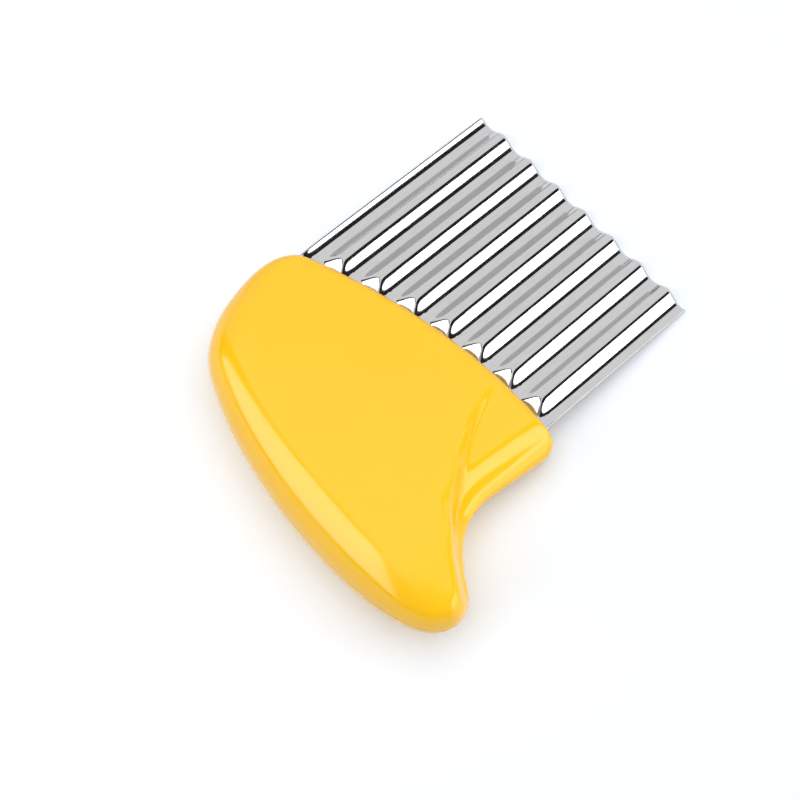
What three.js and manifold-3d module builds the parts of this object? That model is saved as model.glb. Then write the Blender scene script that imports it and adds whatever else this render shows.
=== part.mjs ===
// Crinkle cutter: a corrugated steel blade held between the two halves of a hollow palm handle.
import * as THREE from 'three';
import { mergeVertices } from 'three/addons/utils/BufferGeometryUtils.js';
import Module from 'manifold-3d';

// Driving dimensions in millimetres and degrees.
// The cutter's own frame has X along the blade's width, Y towards its cutting edge, which lies
// at Y = 0, and Z along the blade's normal, with the flat plate's mid surface at Z = 0.

// Blade: waves that rise from the flat plate, and end in slopes in front of the handle
const bladeWidth = 72;
const bladeReach = 49.1;
const plateThickness = 0.8;
const wavePitch = 9.62;
const waveDepth = 2.25;
const crestSharpness = 0.04;
const firstCrestInset = -1.7;
const bevelLength = 0.8;
const edgeThickness = 0.2;
const waveEndRise = 0.6;
const flatBeforeHandle = 0.7;
const crestFold = 0.6;
const footFold = 1.1;

// Tang, hidden in the handle
const tangWidth = 54;
const tangLength = 30;
const shoulderLength = 4;

// Handle outline on the blade's plane, where the handle is widest
const handleDepth = 60.4;
const leftMargin = 2.7;
const frontSweep = 13.2;
const frontInset = 2.6;
const frontArch = 2.3;
const archOffset = 3.4;
const frontDroop = 0.8;
const collarMargin = 5;
const collarLength = 20.5;
const collarCorner = 3.8;
const collarTaper = 1.6;
const tailReach = 15.6;

// Outline past the collar, clockwise: the heading in degrees at each place, and how far the curves
// before and after it follow that heading
const collarFoot = { heading: -94.5, pullAfter: 11 };
const tailTop = { fromTip: 4.4, fromPalm: 19.4, heading: -32, pullBefore: 7.8, pullAfter: 6.5 };
const tailFoot = { fromTip: 6.4, fromPalm: 4.2, heading: -153.8, pullBefore: 9.5, pullAfter: 15.6 };
const palmLeft = { fromLeft: 12.5, fromPalm: 10.5, heading: 152.7, pullBefore: 26, pullAfter: 12.4 };
const leftTop = { fromLeft: 2.8, fromFront: 2.4, heading: 55, pullBefore: 10.2, pullAfter: 1.4 };
const frontPull = 1.2;

// Handle thickness: the lower face opens from the cutting edge at the wedge angle, the upper face
// rises from the nose at the front edge to the palm, and the collar beside it falls away
const wedgeAngle = 7;
const noseHeight = 6;
const faceSlope = 6.5;
const collarSlope = -3;
const collarUndercut = 2.5;
const undercutLength = 14;
const restFaceDepth = 0.6;
const wallThickness = 2.5;

// Edges: a wall with a fillet along the front, a short rounding at the left end that grows into the
// full rounding of the palm, and roundings of their own along the notch and round the collar's end,
// where the handle is widest somewhat below the seam
const seamLand = 0.3;
const frontFillet = 2.8;
const leftEndRound = 2.5;
const leftEndFade = 20;
const palmRoundness = 0.92;
const notchRound = 4.6;
const lowerNotchRoundness = 0.7;
const notchStart = 0.3;
const tipHeading = -122;
const collarRound = 11;
const collarDrop = 2;
const leastRound = 0.6;
const cornerBlend = 4;

// Step down from the face to the collar, from the front edge round the collar and along the tail
const stepWidth = 2.8;
const stepFront = { fromCollarEnd: 20.4, pastFront: 0.5 };
const stepCollar = { fromCollarEnd: 19.1, beforeNeck: 4 };
const stepNotch = { pastCollarEnd: -0.2, behindNeck: 21 };
const stepTail = { pastCollarEnd: 19, behindNeck: 26 };

// Tail, thinner towards its tip
const tailThinning = 0.38;
const thinningStart = 10;
const thinningPastTip = 3;

// Joint between the halves
const seamGap = 0.3;
const fitClearance = 0.3;
const lipHeight = 0.9;
const postSpacing = 34;
const postSetback = 21;
const pegDiameter = 5;
const pegDepth = 7;
const bossDiameter = 9;

// Fineness of the facets
const facetLength = 5;
const fineFacet = 1.1;
const fineReach = 1.7;
const facetGrowth = 0.65;
const leastRimSteps = 3;
const columnsPerWave = 10;
const waveEndRows = 8;
const stepPoints = 24;
const edgeRings = 6;
const roundSides = 20;
const halvings = 40;

// Mid line that the facets of the rounded edge run towards: from the palm's left to a fork, and from
// there into the tail and into the collar
const midLineLeft = { fromLeft: 16, fromPalm: 29 };
const midLineFork = { fromCollarEnd: 14, fromPalm: 26 };
const midLineTail = { fromTip: 9, fromPalm: 11.5 };
const midLineCollar = { fromCollarEnd: 10, fromFront: 11 };
const widestEdge = 0.6;

// Overlaps that keep cuts and joins clean
const cutOver = 1;
const joinOver = 0.05;
const coverTimes = 4;
const weldTolerance = 1e-4;

// Derived places
const halfBlade = bladeWidth / 2;
const halfPlate = plateThickness / 2;
const halfGap = seamGap / 2;
const slotLevel = halfPlate + fitClearance;
const edgeDrop = halfPlate;
const wedge = THREE.MathUtils.degToRad(wedgeAngle);
const faceRise = Math.tan(THREE.MathUtils.degToRad(faceSlope));
const collarRise = Math.tan(THREE.MathUtils.degToRad(collarSlope));
const collarEnd = halfBlade + collarMargin;
const leftEnd = -halfBlade - leftMargin;
const frontY = -bladeReach;
const sweptY = frontY - frontSweep;
const palmY = frontY - handleDepth;
const neckY = frontY - collarLength;
const tailTip = collarEnd + tailReach;
const postY = frontY - postSetback;
const lipLine = wallThickness / 2;

const wasm = await Module();
wasm.setup();

// Solids and meshes

function toSolid(geometry) {
  const bare = geometry.clone();
  bare.deleteAttribute('normal');
  bare.deleteAttribute('uv');
  const merged = mergeVertices(bare, weldTolerance);
  return new wasm.Manifold(new wasm.Mesh({
    numProp: 3,
    vertProperties: new Float32Array(merged.attributes.position.array),
    triVerts: new Uint32Array(merged.index.array),
  }));
}

function toGeometry(solid) {
  const mesh = solid.getMesh();
  const geometry = new THREE.BufferGeometry();
  geometry.setAttribute('position', new THREE.BufferAttribute(mesh.vertProperties, 3));
  geometry.setIndex(new THREE.BufferAttribute(mesh.triVerts, 1));
  geometry.computeVertexNormals();
  return geometry;
}

function meshFrom(points, triangles) {
  const geometry = new THREE.BufferGeometry();
  geometry.setAttribute('position', new THREE.Float32BufferAttribute(points.flat(), 3));
  geometry.setIndex(triangles.flat());
  return geometry;
}

function cylinder(diameter, x, y, low, high) {
  const geometry = new THREE.CylinderGeometry(diameter / 2, diameter / 2, high - low, roundSides);
  geometry.rotateX(Math.PI / 2);
  geometry.translate(x, y, (low + high) / 2);
  return toSolid(geometry);
}

// Handle outline

const front = new THREE.QuadraticBezierCurve(
  new THREE.Vector2(-halfBlade + frontInset, sweptY),
  new THREE.Vector2(archOffset, frontY + frontArch),
  new THREE.Vector2(collarEnd - collarCorner, frontY - frontDroop),
);

function station(x, y, { heading, pullBefore = 0, pullAfter = 0 }) {
  const angle = THREE.MathUtils.degToRad(heading);
  const along = new THREE.Vector2(Math.cos(angle), Math.sin(angle));
  const place = new THREE.Vector2(x, y);
  return {
    place,
    before: place.clone().addScaledVector(along, -pullBefore),
    after: place.clone().addScaledVector(along, pullAfter),
  };
}

// The outline's curves clockwise, in four stretches: the front with the collar's corner, the collar's
// end, the notch with the tail, and the palm
function outlineStretches() {
  const { v0: frontLeft, v1: frontMiddle, v2: frontRight } = front;
  const frontHeading = THREE.MathUtils.radToDeg(frontMiddle.clone().sub(frontLeft).angle());
  const stations = [
    station(collarEnd - collarTaper, neckY, collarFoot),
    station(tailTip - tailTop.fromTip, palmY + tailTop.fromPalm, tailTop),
    station(tailTip - tailFoot.fromTip, palmY + tailFoot.fromPalm, tailFoot),
    station(leftEnd + palmLeft.fromLeft, palmY + palmLeft.fromPalm, palmLeft),
    station(leftEnd + leftTop.fromLeft, frontLeft.y - leftTop.fromFront, leftTop),
    station(frontLeft.x, frontLeft.y, { heading: frontHeading, pullBefore: frontPull }),
  ];
  const cornerTip = new THREE.Vector2(collarEnd, frontRight.y);
  const cornerEnd = new THREE.Vector2(collarEnd, frontRight.y - collarCorner);
  const corner = new THREE.QuadraticBezierCurve(frontRight, cornerTip, cornerEnd);
  const collarSide = new THREE.LineCurve(cornerEnd, stations[0].place);
  const [neck, tail, ...palm] = stations.slice(1).map(({ before, place }, i) => (
    new THREE.CubicBezierCurve(stations[i].place, stations[i].after, before, place)
  ));
  const [collarNeck, notchNeck] = splitCurve(neck, notchStart);
  const [notchTail, palmTail] = splitCurve(tail, tipShare(tail));
  return [[front, corner], [collarSide, collarNeck], [notchNeck, notchTail], [palmTail, ...palm]];
}

// The two parts of a curve on either side of a share of it
function splitCurve({ v0, v1, v2, v3 }, share) {
  const between = (a, b) => a.clone().lerp(b, share);
  const [start, middle, end] = [between(v0, v1), between(v1, v2), between(v2, v3)];
  const [before, after] = [between(start, middle), between(middle, end)];
  const place = between(before, after);
  return [
    new THREE.CubicBezierCurve(v0, start, before, place),
    new THREE.CubicBezierCurve(place, after, end, v3),
  ];
}

// The share of the tail's curve at which it has turned to the heading of its tip
function tipShare(tail) {
  let low = 0;
  let high = 1;
  for (let step = 0; step < halvings; step += 1) {
    const middle = (low + high) / 2;
    const { x, y } = tail.getTangent(middle);
    if (THREE.MathUtils.radToDeg(Math.atan2(y, x)) > tipHeading) {
      low = middle;
    } else {
      high = middle;
    }
  }
  return low;
}

function curvePoints(curve) {
  return curve.getPoints(leastRimSteps + Math.round(curve.getLength() / facetLength));
}

const stretches = outlineStretches();
const outline = stretches.flat().flatMap((curve) => curvePoints(curve).slice(1)).reverse();
const stretchRuns = stretches.map((curves) => curves.flatMap((curve) => {
  const points = curvePoints(curve);
  return points.slice(1).map((point, i) => [points[i], point]);
}));

// The rounding of the collar's end runs on straight through the front wall
const [, [collarSide]] = stretches;
const pastFront = collarSide.getTangent(0).multiplyScalar(-collarLength).add(collarSide.v1);
stretchRuns[1].push([pastFront, collarSide.v1]);

function insetOutline(inset) {
  return outline.map((point, i) => {
    const before = outline.at(i - 1);
    const after = outline[(i + 1) % outline.length];
    const along = after.clone().sub(before).normalize();
    return new THREE.Vector2(point.x - along.y * inset, point.y + along.x * inset);
  });
}

// Nearest place to a point on a list of straight runs, and the side of the run that the point is on
function nearestOn(x, y, runs) {
  let best = { distance: Infinity };
  runs.forEach(([start, end]) => {
    const run = end.clone().sub(start);
    const reach = new THREE.Vector2(x - start.x, y - start.y);
    const share = THREE.MathUtils.clamp(reach.dot(run) / run.lengthSq(), 0, 1);
    const distance = reach.clone().addScaledVector(run, -share).length();
    if (distance < best.distance) {
      const place = start.clone().addScaledVector(run, share);
      best = { distance, place, side: Math.sign(run.cross(reach)) };
    }
  });
  return best;
}

// Place of the front edge at a place across the blade, carried on straight past the curve's ends
function frontAt(x) {
  const { v0: left, v1: control, v2: right } = front;
  if (x <= left.x) {
    return left.y + (x - left.x) * (control.y - left.y) / (control.x - left.x);
  }
  if (x >= right.x) {
    return right.y;
  }
  let low = 0;
  let high = 1;
  for (let step = 0; step < halvings; step += 1) {
    const middle = (low + high) / 2;
    if (front.getPoint(middle).x < x) {
      low = middle;
    } else {
      high = middle;
    }
  }
  return front.getPoint(low).y;
}

// Thickness of the handle

const stepCurve = new THREE.CubicBezierCurve(
  new THREE.Vector2(collarEnd - stepFront.fromCollarEnd, frontY + stepFront.pastFront),
  new THREE.Vector2(collarEnd - stepCollar.fromCollarEnd, neckY + stepCollar.beforeNeck),
  new THREE.Vector2(collarEnd + stepNotch.pastCollarEnd, neckY - stepNotch.behindNeck),
  new THREE.Vector2(collarEnd + stepTail.pastCollarEnd, neckY - stepTail.behindNeck),
).getPoints(stepPoints);
const stepRuns = stepCurve.slice(1).map((point, i) => [stepCurve[i], point]);

// 1 on the face, 0 on the collar. Inside the wall the step lies further under the face.
function faceShare(x, y, inset) {
  const { distance, side } = nearestOn(x, y, stepRuns);
  return THREE.MathUtils.smoothstep(-side * distance - inset, -stepWidth / 2, stepWidth / 2);
}

function restDepth(y) {
  return edgeDrop - y * Math.tan(wedge);
}

function tailShare(x) {
  const towardsTip = THREE.MathUtils.smoothstep(x, collarEnd - thinningStart, tailTip + thinningPastTip);
  return 1 - tailThinning * towardsTip;
}

function behindFront(x, y) {
  return Math.max(frontAt(x) - y, 0);
}

function upperHeight(x, y, inset) {
  const rise = THREE.MathUtils.lerp(collarRise, faceRise, faceShare(x, y, inset));
  return (noseHeight + behindFront(x, y) * rise) * tailShare(x) - inset;
}

function lowerHeight(x, y, inset) {
  const fade = THREE.MathUtils.smoothstep(behindFront(x, y), 0, undercutLength);
  const undercut = collarUndercut * (1 - faceShare(x, y, inset)) * fade;
  return (restDepth(y) + restFaceDepth - undercut) * tailShare(x) - inset;
}

// How each stretch of the edge is rounded: how far in, how far up, and how much of that is below the seam
function edgeRoundings(x, y, full, inset, side) {
  const away = THREE.MathUtils.smoothstep(behindFront(x, y), 0, leftEndFade);
  const endRound = Math.max(leftEndRound - inset, leastRound);
  const fillet = Math.max(frontFillet - inset, leastRound);
  const palmAcross = palmRoundness * (full + inset) - inset;
  const notchAcross = side > 0 ? notchRound : lowerNotchRoundness * (full + inset);
  return [
    { across: fillet, up: fillet, below: 0 },
    { across: collarRound - inset, up: full + side * collarDrop, below: side > 0 ? collarDrop : 0 },
    { across: Math.max(notchAcross - inset, leastRound), up: full, below: 0 },
    {
      across: Math.max(THREE.MathUtils.lerp(endRound, palmAcross, away), leastRound),
      up: THREE.MathUtils.lerp(endRound, full, away),
      below: 0,
    },
  ];
}

// Height over a place inside the outline drawn in by an inset: behind each stretch it drops along a part
// of an ellipse, and the drops of two stretches blend where they meet
function roundedHeight(x, y, { inset, side, heightAt }) {
  const full = heightAt(x, y, inset);
  const drops = edgeRoundings(x, y, full, inset, side).map(({ across, up, below }, i) => {
    const depth = Math.max(nearestOn(x, y, stretchRuns[i]).distance - inset, 0);
    const widest = Math.sqrt(1 - (below / up) ** 2);
    const share = THREE.MathUtils.clamp(widest - depth / across, 0, 1);
    return up * (1 - Math.sqrt(1 - share * share));
  });
  const blended = drops.reduce((sum, drop) => sum + drop ** cornerBlend, 0) ** (1 / cornerBlend);
  return full - blended;
}

const fork = new THREE.Vector2(collarEnd - midLineFork.fromCollarEnd, palmY + midLineFork.fromPalm);
const midLine = [
  new THREE.Vector2(leftEnd + midLineLeft.fromLeft, palmY + midLineLeft.fromPalm),
  new THREE.Vector2(tailTip - midLineTail.fromTip, palmY + midLineTail.fromPalm),
  new THREE.Vector2(collarEnd - midLineCollar.fromCollarEnd, frontY - midLineCollar.fromFront),
].map((end) => [fork, end]);

// Rings of places from the rim to the inner end of the rounded edge
function edgePlaces(rim, { inset, side, heightAt }) {
  const rays = rim.map((p) => {
    const ray = nearestOn(p.x, p.y, midLine).place.sub(p);
    const distances = stretchRuns.map((runs) => nearestOn(p.x, p.y, runs).distance);
    const nearest = distances.indexOf(Math.min(...distances));
    const { across } = edgeRoundings(p.x, p.y, heightAt(p.x, p.y, inset), inset, side)[nearest];
    return ray.multiplyScalar(Math.min(across / ray.length(), widestEdge));
  });
  return Array.from({ length: edgeRings + 1 }, (_, ring) => {
    const share = 1 - Math.cos((Math.PI / 2) * (ring / edgeRings));
    return rim.map((p, i) => p.clone().addScaledVector(rays[i], share));
  });
}

// How long the edges of the facets may be at a place: short along the step and at the collar's corner
function facetAt({ x, y }) {
  const fromStep = nearestOn(x, y, stepRuns).distance;
  const fromCorner = front.v2.distanceTo(new THREE.Vector2(x, y)) - collarCorner;
  const away = Math.min(fromStep, fromCorner) - fineReach;
  return THREE.MathUtils.clamp(fineFacet + facetGrowth * away, fineFacet, facetLength);
}

function middleOf(start, end) {
  return start.clone().add(end).divideScalar(2);
}

function splitRun(start, end) {
  const middle = middleOf(start, end);
  const isShort = start.distanceTo(end) <= facetAt(middle);
  return isShort ? [start] : [...splitRun(start, middle), ...splitRun(middle, end)];
}

function splitTriangle(triangle) {
  const edges = triangle.map((start, i) => {
    const end = triangle[(i + 1) % triangle.length];
    const middle = middleOf(start, end);
    return { i, middle, excess: start.distanceTo(end) / facetAt(middle) };
  });
  const { i, middle, excess } = edges.reduce((a, b) => (b.excess > a.excess ? b : a));
  if (excess <= 1) {
    return [triangle];
  }
  const [start, end, apex] = [0, 1, 2].map((turn) => triangle[(i + turn) % triangle.length]);
  return [...splitTriangle([start, middle, apex]), ...splitTriangle([middle, end, apex])];
}

// A dome over the outline drawn in by an inset, on a flat floor at a level near the seam. The corners
// start with their share of the height over the floor as Z.
function dome(form) {
  const { inset, base, skirt, side } = form;
  const rim = insetOutline(inset).flatMap((p, i, ring) => splitRun(p, ring[(i + 1) % ring.length]));
  const raised = (ring, share) => ring.map((p) => new THREE.Vector3(p.x, p.y, share));
  const rings = edgePlaces(rim, form).map((ring) => raised(ring, 1));
  const foot = raised(rim, 0);
  const roofFacets = [
    ...rings.slice(1).flatMap((inner, ring) => ringBand(rings[ring], inner)),
    ...fillRing(rings.at(-1)),
  ].flatMap(splitTriangle);
  const floorFacets = fillRing(foot).map((triangle) => [...triangle].reverse());
  const facets = [...roofFacets, ...ringBand(foot, rings[0]), ...floorFacets];
  const placed = facets.flat().map(({ x, y, z }) => {
    const roof = Math.max(base + seamLand, roundedHeight(x, y, form));
    return new THREE.Vector3(x, y, side * THREE.MathUtils.lerp(base - skirt, roof, z));
  });
  const facing = side > 0 ? placed : placed.reverse();
  return toSolid(new THREE.BufferGeometry().setFromPoints(facing));
}

// Triangles between a ring and the next ring inside or above it
function ringBand(outer, inner) {
  return outer.flatMap((corner, i) => {
    const next = (i + 1) % outer.length;
    return [[corner, outer[next], inner[next]], [corner, inner[next], inner[i]]];
  });
}

// Triangles that fill a ring, each time cutting off the corner with the shortest cut
function fillRing(ring) {
  const open = [...ring];
  const turn = (p, q, r) => (q.x - p.x) * (r.y - p.y) - (q.y - p.y) * (r.x - p.x);
  const cornerAt = (place) => [open.at(place - 1), open[place], open[(place + 1) % open.length]];
  const holds = (corners, other) => corners.every((p, i) => (
    turn(p, corners[(i + 1) % corners.length], other) >= 0
  ));
  const isFree = (corners) => turn(...corners) > 0 && !open.some((other) => (
    !corners.includes(other) && holds(corners, other)
  ));
  const cutLength = (place) => cornerAt(place)[0].distanceTo(cornerAt(place)[2]);
  const triangles = [];
  while (open.length > 3) {
    const free = [...open.keys()].filter((place) => isFree(cornerAt(place)));
    const shortest = free.reduce((a, b) => (cutLength(b) < cutLength(a) ? b : a));
    triangles.push(cornerAt(shortest));
    open.splice(shortest, 1);
  }
  triangles.push(open);
  return triangles;
}

// A straight-sided block over the outline drawn in by an inset
function outlineBlock(inset, low, high) {
  const shape = new THREE.Shape(insetOutline(inset));
  const geometry = new THREE.ExtrudeGeometry(shape, { depth: high - low, bevelEnabled: false });
  geometry.translate(0, 0, low);
  return toSolid(geometry);
}

// Blade

function bladeColumns() {
  const count = Math.round((bladeWidth / wavePitch) * columnsPerWave);
  return Array.from({ length: count + 1 }, (_, i) => -halfBlade + (bladeWidth * i) / count);
}

// Rear edge of the plate: a tang between two shoulders that end inside the handle's front wall
function tangRear(x) {
  return Math.abs(x) <= tangWidth / 2 ? frontY - tangLength : frontAt(x) - shoulderLength;
}

// Where the slope that ends the wave at a place across the blade begins
function waveFoot(x) {
  const firstCrest = firstCrestInset - halfBlade;
  const crest = firstCrest + wavePitch * Math.round((x - firstCrest) / wavePitch);
  return frontAt(crest) + flatBeforeHandle;
}

// Lift of the plate: the wave or the slope that ends it, whichever is lower, with a fold between them
function liftAt(x, y) {
  const phase = 2 * Math.PI * ((x + halfBlade - firstCrestInset) / wavePitch);
  const wave = (waveDepth / 2) * (Math.cos(phase) + 1 + crestSharpness * (Math.cos(2 * phase) - 1));
  const slope = Math.max(waveEndRise * (y - waveFoot(x)), 0);
  const fold = THREE.MathUtils.lerp(footFold, crestFold, Math.min(wave, slope) / waveDepth);
  return Math.max((wave + slope - Math.hypot(wave - slope, fold)) / 2, 0);
}

// A plate from one row of places to the next: each row gives a place, a top and a bottom per column
function plateSolid(columns, rows) {
  const points = [];
  rows.forEach((row) => columns.forEach((x) => {
    const { y, top, bottom } = row(x);
    points.push([x, y, top], [x, y, bottom]);
  }));
  const at = (row, column, face) => 2 * (row * columns.length + column) + face;
  const triangles = [];
  const quad = (a, b, c, d) => triangles.push([a, b, c], [a, c, d]);
  const lastRow = rows.length - 1;
  const lastColumn = columns.length - 1;
  for (let r = 0; r < lastRow; r += 1) {
    for (let c = 0; c < lastColumn; c += 1) {
      quad(at(r + 1, c, 0), at(r + 1, c + 1, 0), at(r, c + 1, 0), at(r, c, 0));
      quad(at(r, c, 1), at(r, c + 1, 1), at(r + 1, c + 1, 1), at(r + 1, c, 1));
    }
    quad(at(r, 0, 0), at(r, 0, 1), at(r + 1, 0, 1), at(r + 1, 0, 0));
    quad(at(r + 1, lastColumn, 0), at(r + 1, lastColumn, 1), at(r, lastColumn, 1), at(r, lastColumn, 0));
  }
  for (let c = 0; c < lastColumn; c += 1) {
    quad(at(0, c, 0), at(0, c + 1, 0), at(0, c + 1, 1), at(0, c, 1));
    quad(at(lastRow, c + 1, 0), at(lastRow, c, 0), at(lastRow, c, 1), at(lastRow, c + 1, 1));
  }
  return toSolid(meshFrom(points, triangles));
}

const postPlaces = [-postSpacing / 2, postSpacing / 2];

function bladeSolid() {
  const waved = (placeAt, thickness) => (x) => {
    const y = placeAt(x);
    const bottom = liftAt(x, y) - halfPlate;
    return { y, top: bottom + thickness, bottom };
  };
  const slopeLength = waveDepth / waveEndRise + footFold;
  const rows = [
    waved(() => 0, edgeThickness),
    waved(() => -bevelLength, plateThickness),
  ];
  for (let step = 0; step <= waveEndRows; step += 1) {
    const left = 1 - step / waveEndRows;
    const placeAt = (x) => THREE.MathUtils.lerp(frontAt(x), waveFoot(x) + slopeLength, left);
    rows.push(waved(placeAt, plateThickness));
  }
  rows.push(waved(tangRear, plateThickness));
  let blade = plateSolid(bladeColumns(), rows);
  postPlaces.forEach((x) => {
    const hole = cylinder(pegDiameter + 2 * fitClearance, x, postY, -plateThickness, plateThickness);
    blade = blade.subtract(hole);
  });
  return blade;
}

// The space that the flat of the blade takes in the handle, with its clearance
function bladeSlot(low, high) {
  const halfSlot = halfBlade + fitClearance;
  const halfTang = tangWidth / 2 + fitClearance;
  const columns = bladeColumns().filter((x) => Math.abs(Math.abs(x) - halfTang) > fitClearance);
  columns.push(-halfSlot, halfSlot, -halfTang, halfTang);
  columns.sort((a, b) => a - b);
  return plateSolid(columns, [
    (x) => ({ y: frontAt(x) + shoulderLength, top: high, bottom: low }),
    (x) => ({ y: frontAt(x) - shoulderLength - fitClearance, top: high, bottom: low }),
  ]);
}

// Handle halves

function upperShell() {
  const form = { base: halfGap, side: 1, heightAt: upperHeight };
  const outer = dome({ ...form, inset: 0, skirt: 0 });
  const hollow = dome({ ...form, inset: wallThickness, skirt: cutOver });
  const rabbet = outlineBlock(lipLine - fitClearance / 2, -cutOver, halfGap + lipHeight + fitClearance);
  let shell = outer.subtract(hollow).subtract(rabbet);
  const tallest = upperHeight(0, palmY, 0);
  postPlaces.forEach((x) => {
    const boss = cylinder(bossDiameter, x, postY, slotLevel, tallest).intersect(outer);
    const peg = cylinder(pegDiameter, x, postY, -pegDepth, slotLevel + cutOver);
    shell = shell.add(boss).add(peg);
  });
  return shell.subtract(bladeSlot(-cutOver, slotLevel));
}

function lowerShell() {
  const form = { base: halfGap, side: -1, heightAt: lowerHeight };
  const outer = dome({ ...form, inset: 0, skirt: 0 });
  const hollow = dome({ ...form, inset: wallThickness, skirt: cutOver });
  const lipTop = lipHeight - halfGap;
  const lipBody = outlineBlock(lipLine + fitClearance / 2, -lipHeight, lipTop);
  const lipBore = outlineBlock(wallThickness - joinOver, -lipHeight - cutOver, lipTop + cutOver);
  let shell = outer.subtract(hollow).add(lipBody.subtract(lipBore));
  shell = shell.subtract(bladeSlot(-slotLevel, lipTop + cutOver));
  const deepest = -lowerHeight(0, palmY, 0);
  postPlaces.forEach((x) => {
    const boss = cylinder(bossDiameter, x, postY, deepest, -slotLevel).intersect(outer);
    const bore = cylinder(pegDiameter + 2 * fitClearance, x, postY, -pegDepth - fitClearance, 0);
    shell = shell.add(boss).subtract(bore);
  });
  return shell.subtract(belowRestPlane());
}

// Everything under the plane that the cutter lies on: through the cutting edge, at the wedge angle
function belowRestPlane() {
  const size = coverTimes * (bladeReach + handleDepth);
  const block = new THREE.BoxGeometry(size, size, size);
  block.translate(0, 0, -size / 2);
  block.rotateX(wedge);
  block.translate(0, 0, -edgeDrop);
  return toSolid(block);
}

// Assembly

const moulded = { color: 0xfdc92b, roughness: 0.28, metalness: 0 };
const polishedSteel = { color: 0xc9cbce, roughness: 0.16, metalness: 1 };

function piece(name, solid, finish) {
  const mesh = new THREE.Mesh(toGeometry(solid), new THREE.MeshStandardMaterial(finish));
  mesh.name = name;
  return mesh;
}

// The cutter lies on its rest face with the cutting edge on the same plane
const cutter = new THREE.Group();
cutter.add(piece('corrugated_blade', bladeSolid(), polishedSteel));
cutter.add(piece('upper_handle_shell', upperShell(), moulded));
cutter.add(piece('lower_handle_shell', lowerShell(), moulded));
cutter.rotation.x = -wedge;

const part = new THREE.Group();
part.add(cutter);
part.updateMatrixWorld(true);
const extent = new THREE.Box3().setFromObject(part, true);
const middle = extent.getCenter(new THREE.Vector3());
part.position.set(-middle.x, -middle.y, -extent.min.z);
part.updateMatrixWorld(true);

export default part;
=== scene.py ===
import math

import bmesh
import bpy
import numpy as np
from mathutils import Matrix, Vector
from mathutils.geometry import delaunay_2d_cdt


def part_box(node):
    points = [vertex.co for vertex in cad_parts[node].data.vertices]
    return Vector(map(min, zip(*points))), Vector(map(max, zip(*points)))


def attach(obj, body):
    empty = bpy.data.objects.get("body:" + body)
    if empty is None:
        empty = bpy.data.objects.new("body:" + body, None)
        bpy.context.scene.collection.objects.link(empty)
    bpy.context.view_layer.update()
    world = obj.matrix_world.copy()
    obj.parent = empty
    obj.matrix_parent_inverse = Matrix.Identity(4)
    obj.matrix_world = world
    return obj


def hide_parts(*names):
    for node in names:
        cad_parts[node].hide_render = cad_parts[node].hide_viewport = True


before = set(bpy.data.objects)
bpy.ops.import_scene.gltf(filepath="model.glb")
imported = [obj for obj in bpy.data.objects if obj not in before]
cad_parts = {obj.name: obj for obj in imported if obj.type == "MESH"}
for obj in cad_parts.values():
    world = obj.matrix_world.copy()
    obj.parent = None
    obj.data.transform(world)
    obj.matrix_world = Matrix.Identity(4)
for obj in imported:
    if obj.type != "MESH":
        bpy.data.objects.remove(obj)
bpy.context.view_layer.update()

# Sizes in millimetres, in the cutter's own frame: X along the blade's width, Y towards the cutting
# edge at Y = 0, Z along the blade's normal. They repeat the construction's values. Only the rounding of
# the blade's sides, the flat along the collar and the finer seam are different here.
MM_PER_M = 1000
WEDGE = math.radians(7.0)
FIT_CLEARANCE = 0.3

# Blade
BLADE_WIDTH = 72.0
BLADE_REACH = 49.1
PLATE = 0.8
SHOULDER = 4.0
PITCH = 9.62
WAVE_DEPTH = 2.25
FIRST_CREST = -1.7
CREST_SHARPNESS = 0.04
BEVEL = 0.8
EDGE = 0.2
WAVE_END_RISE = 0.6
FLAT_BEFORE_HANDLE = 0.7
CREST_FOLD = 0.6
FOOT_FOLD = 1.1
SIDE_ROUND = 0.5

# Handle outline
LEFT_MARGIN = 2.7
COLLAR_MARGIN = 5.0
COLLAR_LENGTH = 20.5
COLLAR_CORNER = 3.8
COLLAR_TAPER = 1.6
TAIL_REACH = 15.6
HANDLE_DEPTH = 60.4
FRONT_INSET = 2.6
FRONT_SWEEP = 13.2
FRONT_ARCH = 2.3
ARCH_OFFSET = 3.4
FRONT_DROOP = 0.8

# Handle thickness
NOSE = 6.0
FACE_RISE = math.tan(math.radians(6.5))
COLLAR_RISE = math.tan(math.radians(-3.0))
COLLAR_UNDERCUT = 2.5
UNDERCUT_LENGTH = 14
REST_FACE_DEPTH = 0.6
STEP_WIDTH = 2.8
TAIL_THINNING = 0.38
TAIL_START = 10
TAIL_PAST = 3

# Handle roundings. Along the collar's top edge the rounding has a flat: its inner fade, its two edges
# and its slope
FRONT_FILLET = 2.8
NOTCH_ROUND = 4.6
LOWER_NOTCH_SHARE = 0.7
END_ROUND = 2.5
PALM_ROUND_SHARE = 0.92
PALM_ROUND_START = 20
COLLAR_ROUND = 11.0
COLLAR_DROP = 2.0
CORNER_BLEND = 4
FLAT_FADE = 8.3
FLAT_INNER = 6.7
FLAT_OUTER = 3.7
FLAT_SLOPE = 0.57

# Half the gap of the seam, and how far the handle's outer surface stays inside that of the solids
SEAM = 0.05
SKIN = 0.06

HALF_BLADE = BLADE_WIDTH / 2
COLLAR_END = HALF_BLADE + COLLAR_MARGIN
LEFT_END = -HALF_BLADE - LEFT_MARGIN
TAIL_TIP = COLLAR_END + TAIL_REACH
FRONT_Y = -BLADE_REACH
NECK_Y = FRONT_Y - COLLAR_LENGTH
PALM_Y = FRONT_Y - HANDLE_DEPTH
EDGE_DROP = PLATE / 2
SLOT_LEVEL = PLATE / 2 + FIT_CLEARANCE


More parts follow.
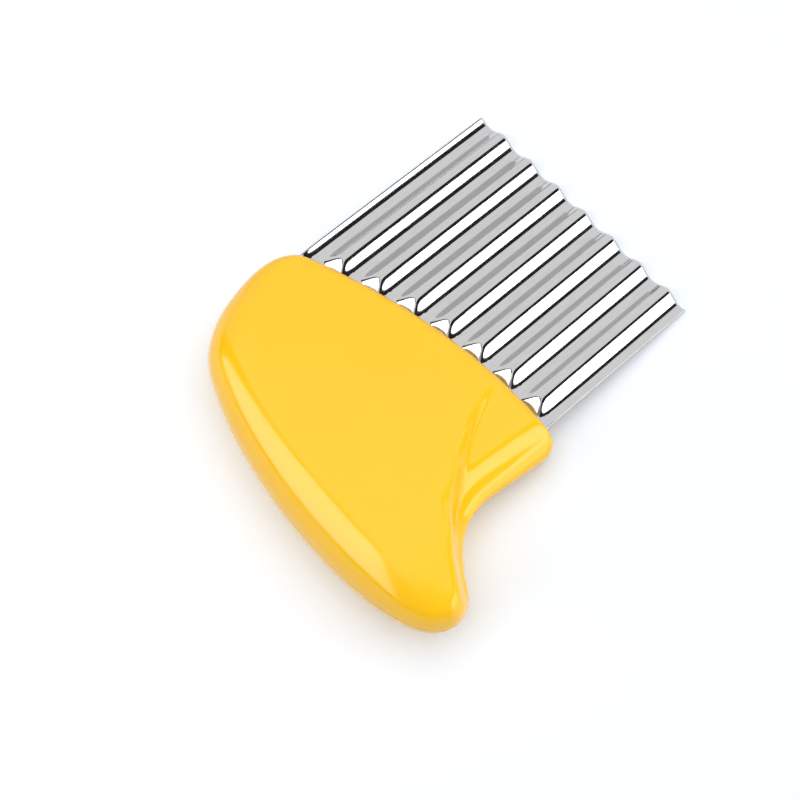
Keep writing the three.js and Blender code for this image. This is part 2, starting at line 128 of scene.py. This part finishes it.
def place(points):
    """Points of the cutter's own frame, in millimetres, as row points in metres."""
    blade_low, blade_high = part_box("corrugated_blade")
    crest = WAVE_DEPTH - PLATE / 2 + EDGE
    shift = np.array([
        blade_low[0] * MM_PER_M + HALF_BLADE,
        blade_high[1] * MM_PER_M - crest * math.sin(WEDGE),
        EDGE_DROP * math.cos(WEDGE),
    ])
    p = np.asarray(points, float)
    y = p[:, 1] * math.cos(WEDGE) + p[:, 2] * math.sin(WEDGE)
    z = p[:, 2] * math.cos(WEDGE) - p[:, 1] * math.sin(WEDGE)
    return (np.stack([p[:, 0], y, z], 1) + shift) / MM_PER_M


def smoothstep(x, low, high):
    t = np.clip((x - low) / (high - low), 0, 1)
    return t * t * (3 - 2 * t)


# Outline of the handle

def bezier(points, count):
    t = np.linspace(0, 1, count + 1)[:, None]
    layer = [np.array(p, float) for p in points]
    while len(layer) > 1:
        layer = [a + (b - a) * t for a, b in zip(layer, layer[1:])]
    return layer[0]


FRONT_STEPS = 400
CURVE_STEPS = 200
STRAIGHT_STEPS = 60
FRONT_LEFT = (-HALF_BLADE + FRONT_INSET, FRONT_Y - FRONT_SWEEP)
FRONT_MIDDLE = (ARCH_OFFSET, FRONT_Y + FRONT_ARCH)
FRONT_RIGHT = (COLLAR_END - COLLAR_CORNER, FRONT_Y - FRONT_DROOP)
FRONT = bezier([FRONT_LEFT, FRONT_MIDDLE, FRONT_RIGHT], FRONT_STEPS)
ARCH_RUN = FRONT_MIDDLE[0] - FRONT_LEFT[0]
ARCH_RISE = FRONT_MIDDLE[1] - FRONT_LEFT[1]

# Points on the outline from the neck round to the front, clockwise: the place, the heading in degrees
# and how far the curve pulls along it before and after
STATIONS = (
    (COLLAR_END - COLLAR_TAPER, NECK_Y, -94.5, 0, 11),
    (TAIL_TIP - 4.4, PALM_Y + 19.4, -32, 7.8, 6.5),
    (TAIL_TIP - 6.4, PALM_Y + 4.2, -153.8, 9.5, 15.6),
    (LEFT_END + 12.5, PALM_Y + 10.5, 152.7, 26, 12.4),
    (LEFT_END + 2.8, FRONT_LEFT[1] - 2.4, 55, 10.2, 1.4),
    (*FRONT_LEFT, math.degrees(math.atan2(ARCH_RISE, ARCH_RUN)), 1.2, 0),
)
# The collar's rounding takes the first share of the neck's curve, and the palm's rounding starts
# where the tail's tip has this heading
NECK_SHARE = 0.3
TIP_HEADING = -122


def station(x, y, heading, before, after):
    c, s = math.cos(math.radians(heading)), math.sin(math.radians(heading))
    return (x - before * c, y - before * s), (x, y), (x + after * c, y + after * s)


def even(path, spacing):
    run = np.concatenate([[0], np.cumsum(np.linalg.norm(np.diff(path, axis=0), axis=1))])
    at = np.linspace(0, run[-1], max(2, int(round(run[-1] / spacing)) + 1))
    return np.stack([np.interp(at, run, path[:, 0]), np.interp(at, run, path[:, 1])], 1)


def joined(parts):
    return np.concatenate([c[:-1] for c in parts] + [parts[-1][-1:]])


def outline_curves():
    """The outline clockwise in four stretches: front, collar's end, notch with the tail, palm."""
    stations = [station(*values) for values in STATIONS]
    curves = [
        bezier([start, after, before, end], CURVE_STEPS)
        for (_, start, after), (before, end, _) in zip(stations, stations[1:])
    ]
    corner = (COLLAR_END, FRONT_RIGHT[1] - COLLAR_CORNER)
    foot = int(len(curves[0]) * NECK_SHARE)
    along = np.diff(curves[1], axis=0)
    headings = np.degrees(np.arctan2(along[:, 1], along[:, 0]))
    tip = int(np.argmin(np.abs(headings - TIP_HEADING)))
    front = [FRONT, bezier([FRONT_RIGHT, (COLLAR_END, FRONT_RIGHT[1]), corner], STRAIGHT_STEPS)]
    collar = [bezier([corner, stations[0][1]], STRAIGHT_STEPS), curves[0][:foot + 1]]
    notch = [curves[0][foot:], curves[1][:tip + 1]]
    palm = [curves[1][tip:]] + curves[2:]
    return joined(front), joined(collar), joined(notch), joined(palm)


def outline_points(spacing):
    """The outline at even spacing, anticlockwise."""
    return np.concatenate([even(c, spacing)[:-1] for c in outline_curves()])[::-1].copy()


def inward(ring):
    along = np.roll(ring, -1, 0) - np.roll(ring, 1, 0)
    along /= np.linalg.norm(along, axis=1)[:, None]
    return np.stack([-along[:, 1], along[:, 0]], 1)


CHUNK = 4000


def nearest(points, path, closed):
    """Distance to a path, and the side of it, positive to the left."""
    start = path if closed else path[:-1]
    end = np.roll(path, -1, 0) if closed else path[1:]
    run = end - start
    length = (run ** 2).sum(1)
    distance = np.full(len(points), np.inf)
    side = np.zeros(len(points))
    for chunk in np.array_split(np.arange(len(points)), max(1, len(points) // CHUNK)):
        reach = points[chunk][:, None] - start[None]
        share = np.clip((reach * run).sum(2) / length, 0, 1)
        gap = np.linalg.norm(reach - share[..., None] * run, axis=2)
        best = gap.argmin(1)
        rows = np.arange(len(chunk))
        distance[chunk] = gap[rows, best]
        turn = run[best][:, 0] * reach[rows, best][:, 1] - run[best][:, 1] * reach[rows, best][:, 0]
        side[chunk] = np.sign(turn)
    return distance, side


PATH_SPACING = 0.8
COLLAR_RUN_ON = 20
OUTLINE = outline_points(PATH_SPACING)
STRETCHES = [even(c, PATH_SPACING) for c in outline_curves()]
# The rounding of the collar's end runs on straight through the front wall
COLLAR_START = STRETCHES[1][:1] + COLLAR_RUN_ON * (STRETCHES[1][:1] - STRETCHES[1][1:2])
STRETCHES[1] = np.concatenate([COLLAR_START, STRETCHES[1]])

# Rings of places, as radius and count, over which a depth is averaged, how fast they count for less, and
# the depth from which they have their full radius
BLUR_RINGS = ((1.3, 6), (2.7, 10))
BLUR_SPREAD = 6
BLUR_START = 3


def soft_depth(points, path):
    """Distance to a path, rounded off where it would crease."""
    exact = nearest(points, path, False)[0]
    reach = np.minimum(exact / BLUR_START, 1)[:, None]
    total, blurred = 1.0, exact.copy()
    for radius, count in BLUR_RINGS:
        weight = math.exp(-radius ** 2 / BLUR_SPREAD)
        for angle in np.arange(count) * 2 * math.pi / count:
            offset = radius * np.array([math.cos(angle), math.sin(angle)])
            blurred += weight * nearest(points + reach * offset, path, False)[0]
            total += weight
    return blurred / total


# Thickness of the handle

# The step between the bulge of the palm and the collar, seen from above
STEP_STEPS = 120
STEP = bezier([
    (COLLAR_END - 20.4, FRONT_Y + 0.5),
    (COLLAR_END - 19.1, NECK_Y + 4.0),
    (COLLAR_END - 0.2, NECK_Y - 21.0),
    (COLLAR_END + 19.0, NECK_Y - 26.0),
], STEP_STEPS)


def front_at(x):
    slope = ARCH_RISE / ARCH_RUN
    return np.where(x < FRONT_LEFT[0], FRONT_LEFT[1] + (x - FRONT_LEFT[0]) * slope,
                    np.interp(x, FRONT[:, 0], FRONT[:, 1]))


def bulge_share(p):
    distance, side = nearest(p, STEP, False)
    return smoothstep(-side * distance, -STEP_WIDTH / 2, STEP_WIDTH / 2)


def tail_share(x):
    return 1 - TAIL_THINNING * smoothstep(x, COLLAR_END - TAIL_START, TAIL_TIP + TAIL_PAST)


def behind_front(p):
    return np.maximum(front_at(p[:, 0]) - p[:, 1], 0)


def upper_height(p):
    rise = FACE_RISE * bulge_share(p) + COLLAR_RISE * (1 - bulge_share(p))
    return (NOSE + behind_front(p) * rise) * tail_share(p[:, 0])


def rest_height(p):
    return EDGE_DROP - p[:, 1] * math.tan(WEDGE)


def lower_height(p):
    undercut = COLLAR_UNDERCUT * (1 - bulge_share(p)) * smoothstep(behind_front(p), 0, UNDERCUT_LENGTH)
    return (rest_height(p) + REST_FACE_DEPTH - undercut) * tail_share(p[:, 0])


# Places over the outline: their spacing, and the rings along the rounded edge
PLAN_SPACING = 1.0
FILL_SPARSENESS = 1.15
RINGS = 20
RING_REACH = 9.5
RING_SWEEP = math.radians(84)
RING_SLACK = 0.985


def dome_points():
    """Places over the outline: the rim, rings that follow the rounded edge, and an even fill."""
    rim = outline_points(PLAN_SPACING)
    rim = rim + inward(rim) * SKIN
    places = [rim]
    for k in range(1, RINGS + 1):
        depth = RING_REACH * (1 - math.cos(RING_SWEEP * k / RINGS))
        ring = rim + inward(rim) * depth
        true_depth = np.multiply(*nearest(ring, OUTLINE, True)) - SKIN
        places.append(ring[true_depth > RING_SLACK * depth])
    low, high = rim.min(0), rim.max(0)
    pitch = PLAN_SPACING * FILL_SPARSENESS
    fill = []
    for i, y in enumerate(np.arange(low[1], high[1], pitch * math.sqrt(3) / 2)):
        fill += [(x, y) for x in np.arange(low[0] + (i % 2) * pitch / 2, high[0], pitch)]
    fill = np.array(fill)
    true_depth = np.multiply(*nearest(fill, OUTLINE, True))
    places.append(fill[true_depth > depth + pitch / 2])
    return rim, np.concatenate(places)


INSIDE_ONLY = 1
SAME_POINT = 1e-4


def plan_mesh():
    """Plan points, their triangles, the rim's points in order and the depth behind each stretch."""
    rim, points = dome_points()
    order = [list(range(len(rim)))]
    corners = [Vector(p) for p in points]
    verts, _, faces, origins, *_ = delaunay_2d_cdt(corners, [], order, INSIDE_ONLY, SAME_POINT)
    plan = np.array([(v.x, v.y) for v in verts])
    found = {source: i for i, sources in enumerate(origins) for source in sources}
    depths = [np.maximum(soft_depth(plan, path) - SKIN, 0) for path in STRETCHES]
    return rim, plan, faces, [found[i] for i in range(len(rim))], depths


def flat_drop(depth):
    """Drop of the flat along the collar's top edge, with a soft start."""
    fade = FLAT_FADE - FLAT_INNER
    soft = FLAT_SLOPE / (2 * fade) * np.maximum(FLAT_FADE - depth, 0) ** 2
    return np.where(depth > FLAT_INNER, soft, FLAT_SLOPE * (FLAT_INNER - depth + fade / 2))


def ellipse_drop(depth, across, up, below=0):
    """Drop of an elliptic edge, whose lowest share can lie below the rim."""
    share = np.clip(np.sqrt(1 - below ** 2) - depth / across, 0, 1)
    return up * (1 - np.sqrt(1 - share * share))


def rounded(full, plan, depths, side):
    """Height over the plan: a wall with a fillet along the front, rounded edges elsewhere."""
    front, collar, notch, palm = depths
    away = smoothstep(front_at(plan[:, 0]) - plan[:, 1], 0, PALM_ROUND_START)
    palm_round = END_ROUND + (PALM_ROUND_SHARE * full - END_ROUND) * away
    palm_up = END_ROUND + (full - END_ROUND) * away
    notch_round = NOTCH_ROUND if side > 0 else LOWER_NOTCH_SHARE * full
    collar_up = full + side * COLLAR_DROP
    hidden = COLLAR_DROP / collar_up if side > 0 else 0
    collar_drop = ellipse_drop(collar, COLLAR_ROUND, collar_up, hidden)
    if side > 0:
        crease = flat_drop(FLAT_OUTER) - ellipse_drop(FLAT_OUTER, COLLAR_ROUND, collar_up, hidden)
        below_flat = collar_drop + crease * collar / FLAT_OUTER
        collar_drop = np.where(collar < FLAT_OUTER, below_flat, flat_drop(collar))
    drops = (
        ellipse_drop(front, FRONT_FILLET, FRONT_FILLET),
        collar_drop,
        ellipse_drop(notch, notch_round, full),
        ellipse_drop(palm, palm_round, palm_up),
    )
    return full - sum(d ** CORNER_BLEND for d in drops) ** (1 / CORNER_BLEND)


# Along the front the halves end at the slot of the blade, elsewhere at the seam
SLOT_MARGIN = 0.3
SLOT_DEPTH = 2
LEAST_WALL = 0.01
RIM_WIDTH = 1.2
SHELL_CREASE = math.radians(40)
BLADE_CREASE = math.radians(14)


def to_object(name, bm):
    mesh = bpy.data.meshes.new(name)
    bm.to_mesh(mesh)
    bm.free()
    obj = bpy.data.objects.new(name, mesh)
    bpy.context.scene.collection.objects.link(obj)
    return obj


def smooth_object(name, bm, crease):
    bm.normal_update()
    for edge in bm.edges:
        edge.smooth = edge.calc_face_angle(0) < crease
    for face in bm.faces:
        face.smooth = True
    return to_object(name, bm)


def shell_mesh(name, shape, side, height_at, flat_rest):
    rim, plan, faces, rim_index, depths = shape
    count = len(rim)
    near_front = np.abs(front_at(plan[:, 0]) - plan[:, 1]) < SLOT_DEPTH
    on_front = (np.abs(plan[:, 0]) < HALF_BLADE + SLOT_MARGIN) & near_front
    base = np.where(on_front, SLOT_LEVEL, SEAM)
    full = height_at(plan) - SKIN
    height = np.maximum(rounded(full, plan, depths, side), base + LEAST_WALL)
    if flat_rest:
        height = np.minimum(height, rest_height(plan))
    foot = np.column_stack([plan[rim_index], side * base[rim_index]])
    inner = np.column_stack([rim + inward(rim) * RIM_WIDTH, np.full(count, side * SLOT_LEVEL)])
    body = np.concatenate([np.column_stack([plan, side * height]), foot, inner])
    bm = bmesh.new()
    corners = [bm.verts.new(p) for p in place(body)]

    def face(indices):
        bm.faces.new([corners[i] for i in (indices if side > 0 else indices[::-1])])

    for triangle in faces:
        face(list(triangle))
    first, second = len(plan), len(plan) + count
    for i in range(count):
        j = (i + 1) % count
        face([rim_index[j], rim_index[i], first + i, first + j])
        face([first + j, first + i, second + i, second + j])
    face([second + i for i in reversed(range(count))])
    return smooth_object(name, bm, SHELL_CREASE)


# Blade

COLUMNS = 361
SIDE_COLUMNS = 7
SIDE_GAP = 0.1
SIDE_SHARE = 0.9
BEVEL_ROWS = 5
WAVE_ROWS = 12
WAVE_END_ROWS = 50
WAVE_END_MARGIN = 1.0
SLOT_INSET = 0.1


def blade_columns():
    """Places across the blade, closer together over the rounding of its two sides."""
    turn = np.linspace(0, math.pi / 2, SIDE_COLUMNS)
    near_side = HALF_BLADE - SIDE_ROUND * (1 - np.cos(turn))
    columns = np.linspace(-HALF_BLADE, HALF_BLADE, COLUMNS)
    between = columns[np.abs(columns) < HALF_BLADE - SIDE_ROUND - SIDE_GAP]
    return np.concatenate([-near_side, between, near_side[::-1]])


def blade_mesh():
    columns = blade_columns()
    inset = np.clip(1 - (HALF_BLADE - np.abs(columns)) / SIDE_ROUND, 0, 1)
    rollover = SIDE_ROUND * (1 - np.sqrt(1 - inset ** 2))
    turns = (columns + HALF_BLADE - FIRST_CREST) / PITCH
    phase = 2 * math.pi * turns
    wave = WAVE_DEPTH / 2 * (np.cos(phase) + 1 + CREST_SHARPNESS * (np.cos(2 * phase) - 1))
    crest = FIRST_CREST - HALF_BLADE + PITCH * np.round(turns)
    foot = front_at(crest) + FLAT_BEFORE_HANDLE
    front = front_at(columns)
    start = foot + WAVE_DEPTH / WAVE_END_RISE + WAVE_END_MARGIN
    rows = []
    for share in np.linspace(0, 1, BEVEL_ROWS):
        rows.append((np.full_like(columns, -BEVEL * share), EDGE + (PLATE - EDGE) * share))
    for share in np.linspace(0, 1, WAVE_ROWS)[1:]:
        rows.append((-BEVEL + (start + BEVEL) * share, PLATE))
    for share in np.linspace(0, 1, WAVE_END_ROWS)[1:]:
        rows.append((start + (front - SLOT_INSET - start) * share, PLATE))
    rows.append((front - SHOULDER, PLATE))
    points = []
    for y, thickness in rows:
        ramp = np.maximum(WAVE_END_RISE * (y - foot), 0)
        fold = FOOT_FOLD + (CREST_FOLD - FOOT_FOLD) * np.minimum(wave, ramp) / WAVE_DEPTH
        lift = (wave + ramp - np.sqrt((wave - ramp) ** 2 + fold ** 2)) / 2
        lift = np.maximum(lift, 0)
        top = lift - PLATE / 2 + thickness - np.minimum(rollover, SIDE_SHARE * thickness)
        points.append(np.stack([columns, y, top], 1))
        points.append(np.stack([columns, y, lift - PLATE / 2], 1))
    points = np.concatenate(points)
    width = len(columns)
    bm = bmesh.new()
    corners = [bm.verts.new(p) for p in place(points)]

    def quad(*indices):
        bm.faces.new([corners[i] for i in indices])

    last = len(rows) - 1
    for r in range(last):
        top, under = 2 * r * width, (2 * r + 1) * width
        next_top, next_under = top + 2 * width, under + 2 * width
        for c in range(width - 1):
            quad(next_top + c, next_top + c + 1, top + c + 1, top + c)
            quad(under + c, under + c + 1, next_under + c + 1, next_under + c)
        quad(top, under, next_under, next_top)
        end = width - 1
        quad(next_top + end, next_under + end, under + end, top + end)
    for c in range(width - 1):
        quad(c, c + 1, width + c + 1, width + c)
        rear = 2 * last * width
        quad(rear + c + 1, rear + c, rear + width + c, rear + width + c + 1)
    return smooth_object("wavy_blade", bm, BLADE_CREASE)


# Materials

NOISE_LOW = 0.3
NOISE_HIGH = 0.7
YELLOW_DARK = (0.955, 0.528, 0.005)
YELLOW_LIGHT = (0.965, 0.540, 0.006)
STEEL_DARK = (0.545, 0.54, 0.545)
STEEL_LIGHT = (0.605, 0.60, 0.605)
GRINDING = (2600, 70, 2600)
PLASTIC_IOR = 1.5


def new_material(name):
    material = bpy.data.materials.new(name)
    material.use_nodes = True
    nodes, links = material.node_tree.nodes, material.node_tree.links
    return material, nodes, links, nodes["Principled BSDF"]


def texture(nodes, links, scale, stretch=(1, 1, 1), detail=3.0):
    coords = nodes.new("ShaderNodeTexCoord")
    mapping = nodes.new("ShaderNodeMapping")
    mapping.inputs["Scale"].default_value = stretch
    noise = nodes.new("ShaderNodeTexNoise")
    noise.inputs["Scale"].default_value = scale
    noise.inputs["Detail"].default_value = detail
    links.new(coords.outputs["Object"], mapping.inputs["Vector"])
    links.new(mapping.outputs["Vector"], noise.inputs["Vector"])
    return noise.outputs["Fac"]


def spread(nodes, links, value, low, high):
    ramp = nodes.new("ShaderNodeMapRange")
    ramp.inputs["From Min"].default_value = NOISE_LOW
    ramp.inputs["From Max"].default_value = NOISE_HIGH
    ramp.inputs["To Min"].default_value = low
    ramp.inputs["To Max"].default_value = high
    links.new(value, ramp.inputs["Value"])
    return ramp.outputs["Result"]


def tint(nodes, links, value, dark, light):
    mix = nodes.new("ShaderNodeMix")
    mix.data_type = "RGBA"
    mix.inputs["A"].default_value = (*dark, 1)
    mix.inputs["B"].default_value = (*light, 1)
    links.new(value, mix.inputs["Factor"])
    return mix.outputs["Result"]


def relief(nodes, links, value, strength, distance):
    bump = nodes.new("ShaderNodeBump")
    bump.inputs["Strength"].default_value = strength
    bump.inputs["Distance"].default_value = distance
    links.new(value, bump.inputs["Height"])
    return bump.outputs["Normal"]


def plastic():
    material, nodes, links, shader = new_material("glossy_yellow_plastic")
    cloud = spread(nodes, links, texture(nodes, links, scale=38, detail=2), low=0, high=1)
    colour = tint(nodes, links, cloud, YELLOW_DARK, YELLOW_LIGHT)
    gloss = spread(nodes, links, texture(nodes, links, scale=260), low=0.13, high=0.19)
    ripple = texture(nodes, links, scale=420, detail=2)
    links.new(colour, shader.inputs["Base Color"])
    links.new(gloss, shader.inputs["Roughness"])
    links.new(relief(nodes, links, ripple, strength=0.06, distance=0.0001), shader.inputs["Normal"])
    shader.inputs["IOR"].default_value = PLASTIC_IOR
    return material


def steel():
    material, nodes, links, shader = new_material("polished_blade_steel")
    streaks = texture(nodes, links, scale=1, stretch=GRINDING, detail=4)
    shade = spread(nodes, links, streaks, low=0, high=1)
    gloss = spread(nodes, links, streaks, low=0.06, high=0.13)
    links.new(tint(nodes, links, shade, STEEL_DARK, STEEL_LIGHT), shader.inputs["Base Color"])
    links.new(gloss, shader.inputs["Roughness"])
    links.new(relief(nodes, links, streaks, strength=0.04, distance=0.00005), shader.inputs["Normal"])
    shader.inputs["Metallic"].default_value = 1.0
    return material


# Pieces

yellow, metal = plastic(), steel()
shape = plan_mesh()
upper_half = shell_mesh("upper_handle_half", shape, side=1, height_at=upper_height, flat_rest=False)
lower_half = shell_mesh("lower_handle_half", shape, side=-1, height_at=lower_height, flat_rest=True)
blade = blade_mesh()
pieces = (
    (upper_half, "upper_handle_shell", "upper_plastic", yellow),
    (lower_half, "lower_handle_shell", "lower_plastic", yellow),
    (blade, "corrugated_blade", "blade_steel", metal),
)
for piece, node, slot, material in pieces:
    piece.data.materials.append(material)
    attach(piece, "root")
    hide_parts(node)

# Camera at the photograph's angle, with its place and its aim in the cutter's own frame

EYE = (107.73, -207.23, 361.19)
AIM = (8.29, -70.18, 1.4)
SENSOR = 36.0
FOCAL_PIXELS = 1700
PICTURE_PIXELS = 800

camera = bpy.data.objects.new("camera", bpy.data.cameras.new("camera"))
camera.data.sensor_width = SENSOR
camera.data.lens = SENSOR * FOCAL_PIXELS / PICTURE_PIXELS
camera.data.clip_start = 0.01
eye, aim = place([EYE, AIM])
camera.location = eye
camera.rotation_euler = Vector(aim - eye).to_track_quat("-Z", "Y").to_euler()
bpy.context.scene.collection.objects.link(camera)
bpy.context.scene.camera = camera

# Floor and studio

FLOOR_RADIUS = 6.0
FLOOR_SIDES = 64
FLOOR_GAP = 0.0002
FLOOR_COLOUR = (0.76, 0.80, 0.855, 1)
FLOOR_ROUGHNESS = 0.9
FLOOR_LIFT = 0.17
WHITE = (1, 1, 1, 1)


def math_node(tree, operation, a, b=None):
    node = tree.nodes.new("ShaderNodeMath")
    node.operation = operation
    for socket, value in zip(node.inputs, (a, b)):
        if isinstance(value, (int, float)):
            socket.default_value = value
        elif value is not None:
            tree.links.new(value, socket)
    return node.outputs[0]


def floor():
    """A pale matt floor. Seen directly, in a mirror or through glass it is lifted to near white."""
    bm = bmesh.new()
    bmesh.ops.create_circle(bm, cap_ends=True, segments=FLOOR_SIDES, radius=FLOOR_RADIUS)
    obj = to_object("floor", bm)
    obj.location.z = -FLOOR_GAP
    material, nodes, links, shader = new_material("pale_floor")
    tree = material.node_tree
    shader.inputs["Base Color"].default_value = FLOOR_COLOUR
    shader.inputs["Roughness"].default_value = FLOOR_ROUGHNESS
    shader.inputs["Emission Color"].default_value = WHITE
    path = nodes.new("ShaderNodeLightPath").outputs
    seen = math_node(tree, "MAXIMUM", path["Is Camera Ray"], path["Is Glossy Ray"])
    seen = math_node(tree, "MAXIMUM", seen, path["Is Transmission Ray"])
    links.new(math_node(tree, "MULTIPLY", seen, FLOOR_LIFT), shader.inputs["Emission Strength"])
    obj.data.materials.append(material)


# What the glossy faces mirror: a dome over a dark ground, with windows that have limits in degrees,
# brightness and softness. A "turn" window has limits of azimuth and elevation, a "roll" window lies along
# the waves, with limits of the angle from straight up towards +X and of the angle towards +Y.
DOME = 1.05
GROUND = 0.05
HORIZON = 2
HORIZON_SOFTNESS = 2
WINDOWS = (
    ("turn", (-72, 0), (-10, 68), 0.3, 2),
    ("roll", (19, 90), (-3, 62), 0.02, 2),
    ("turn", (-172, -72), (-10, 82), 0.05, 4),
    ("roll", (58, 88), (3, 48), 2.3, 2),
    ("roll", (47.5, 59), (3, 48), 4.0, 2),
    ("turn", (-150, -76), (9, 71), 3.9, 6),
)


def studio():
    world = bpy.data.worlds.new("studio")
    world.use_nodes = True
    bpy.context.scene.world = world
    tree = world.node_tree
    nodes, links = tree.nodes, tree.links
    background = nodes["Background"]

    def rise(value, at, width):
        node = nodes.new("ShaderNodeMapRange")
        node.interpolation_type = "SMOOTHSTEP"
        node.inputs["From Min"].default_value = math.radians(at - width / 2)
        node.inputs["From Max"].default_value = math.radians(at + width / 2)
        links.new(value, node.inputs["Value"])
        return node.outputs["Result"]

    coords = nodes.new("ShaderNodeTexCoord")
    split = nodes.new("ShaderNodeSeparateXYZ")
    links.new(coords.outputs["Generated"], split.inputs[0])
    x, y, z = (split.outputs[axis] for axis in "XYZ")
    elevation = math_node(tree, "ARCSINE", z)
    angles = {
        "turn": (math_node(tree, "ARCTAN2", y, x), elevation),
        "roll": (math_node(tree, "ARCTAN2", x, z), math_node(tree, "ARCSINE", y)),
    }

    def window(kind, limits, soft):
        product = None
        for value, (low, high) in zip(angles[kind], limits):
            before_end = math_node(tree, "SUBTRACT", 1, rise(value, high, soft))
            inside = math_node(tree, "MULTIPLY", rise(value, low, soft), before_end)
            product = inside if product is None else math_node(tree, "MULTIPLY", product, inside)
        return product

    def blend(light, towards, share):
        change = math_node(tree, "SUBTRACT", towards, light)
        return math_node(tree, "ADD", light, math_node(tree, "MULTIPLY", change, share))

    light = blend(GROUND, DOME, rise(elevation, HORIZON, HORIZON_SOFTNESS))
    for kind, *limits, brightness, soft in WINDOWS:
        light = blend(light, brightness, window(kind, limits, soft))
    links.new(light, background.inputs["Strength"])
    background.inputs["Color"].default_value = WHITE
    world.cycles_visibility.diffuse = False


def lamp(name, place_at, size, brightness, only=()):
    """A soft square lamp aimed at the cutter, for the matt light alone: the world is what is mirrored."""
    data = bpy.data.lights.new(name, "AREA")
    data.size = size
    data.energy = brightness * math.pi * size * size
    obj = bpy.data.objects.new(name, data)
    obj.location = place_at
    obj.rotation_euler = Vector(place_at).to_track_quat("Z", "Y").to_euler()
    obj.visible_glossy = False
    obj.visible_camera = False
    bpy.context.scene.collection.objects.link(obj)
    if only:
        lit = bpy.data.collections.new(name + "_lights")
        for piece in only:
            lit.objects.link(piece)
        obj.light_linking.receiver_collection = lit


floor()
studio()
lamp("overhead_lamp", (-0.04, 0.04, 0.60), size=0.9, brightness=2.0)
lamp("back_lamp", (0.40, 0.58, 0.28), size=0.5, brightness=2.0)
lamp("front_lamp", (-0.30, -0.60, 0.34), size=0.6, brightness=2.1)
lamp("right_lamp", (0.60, 0.12, 0.24), size=0.5, brightness=1.9, only=[upper_half, lower_half, blade])
bpy.context.scene.view_settings.view_transform = "Standard"
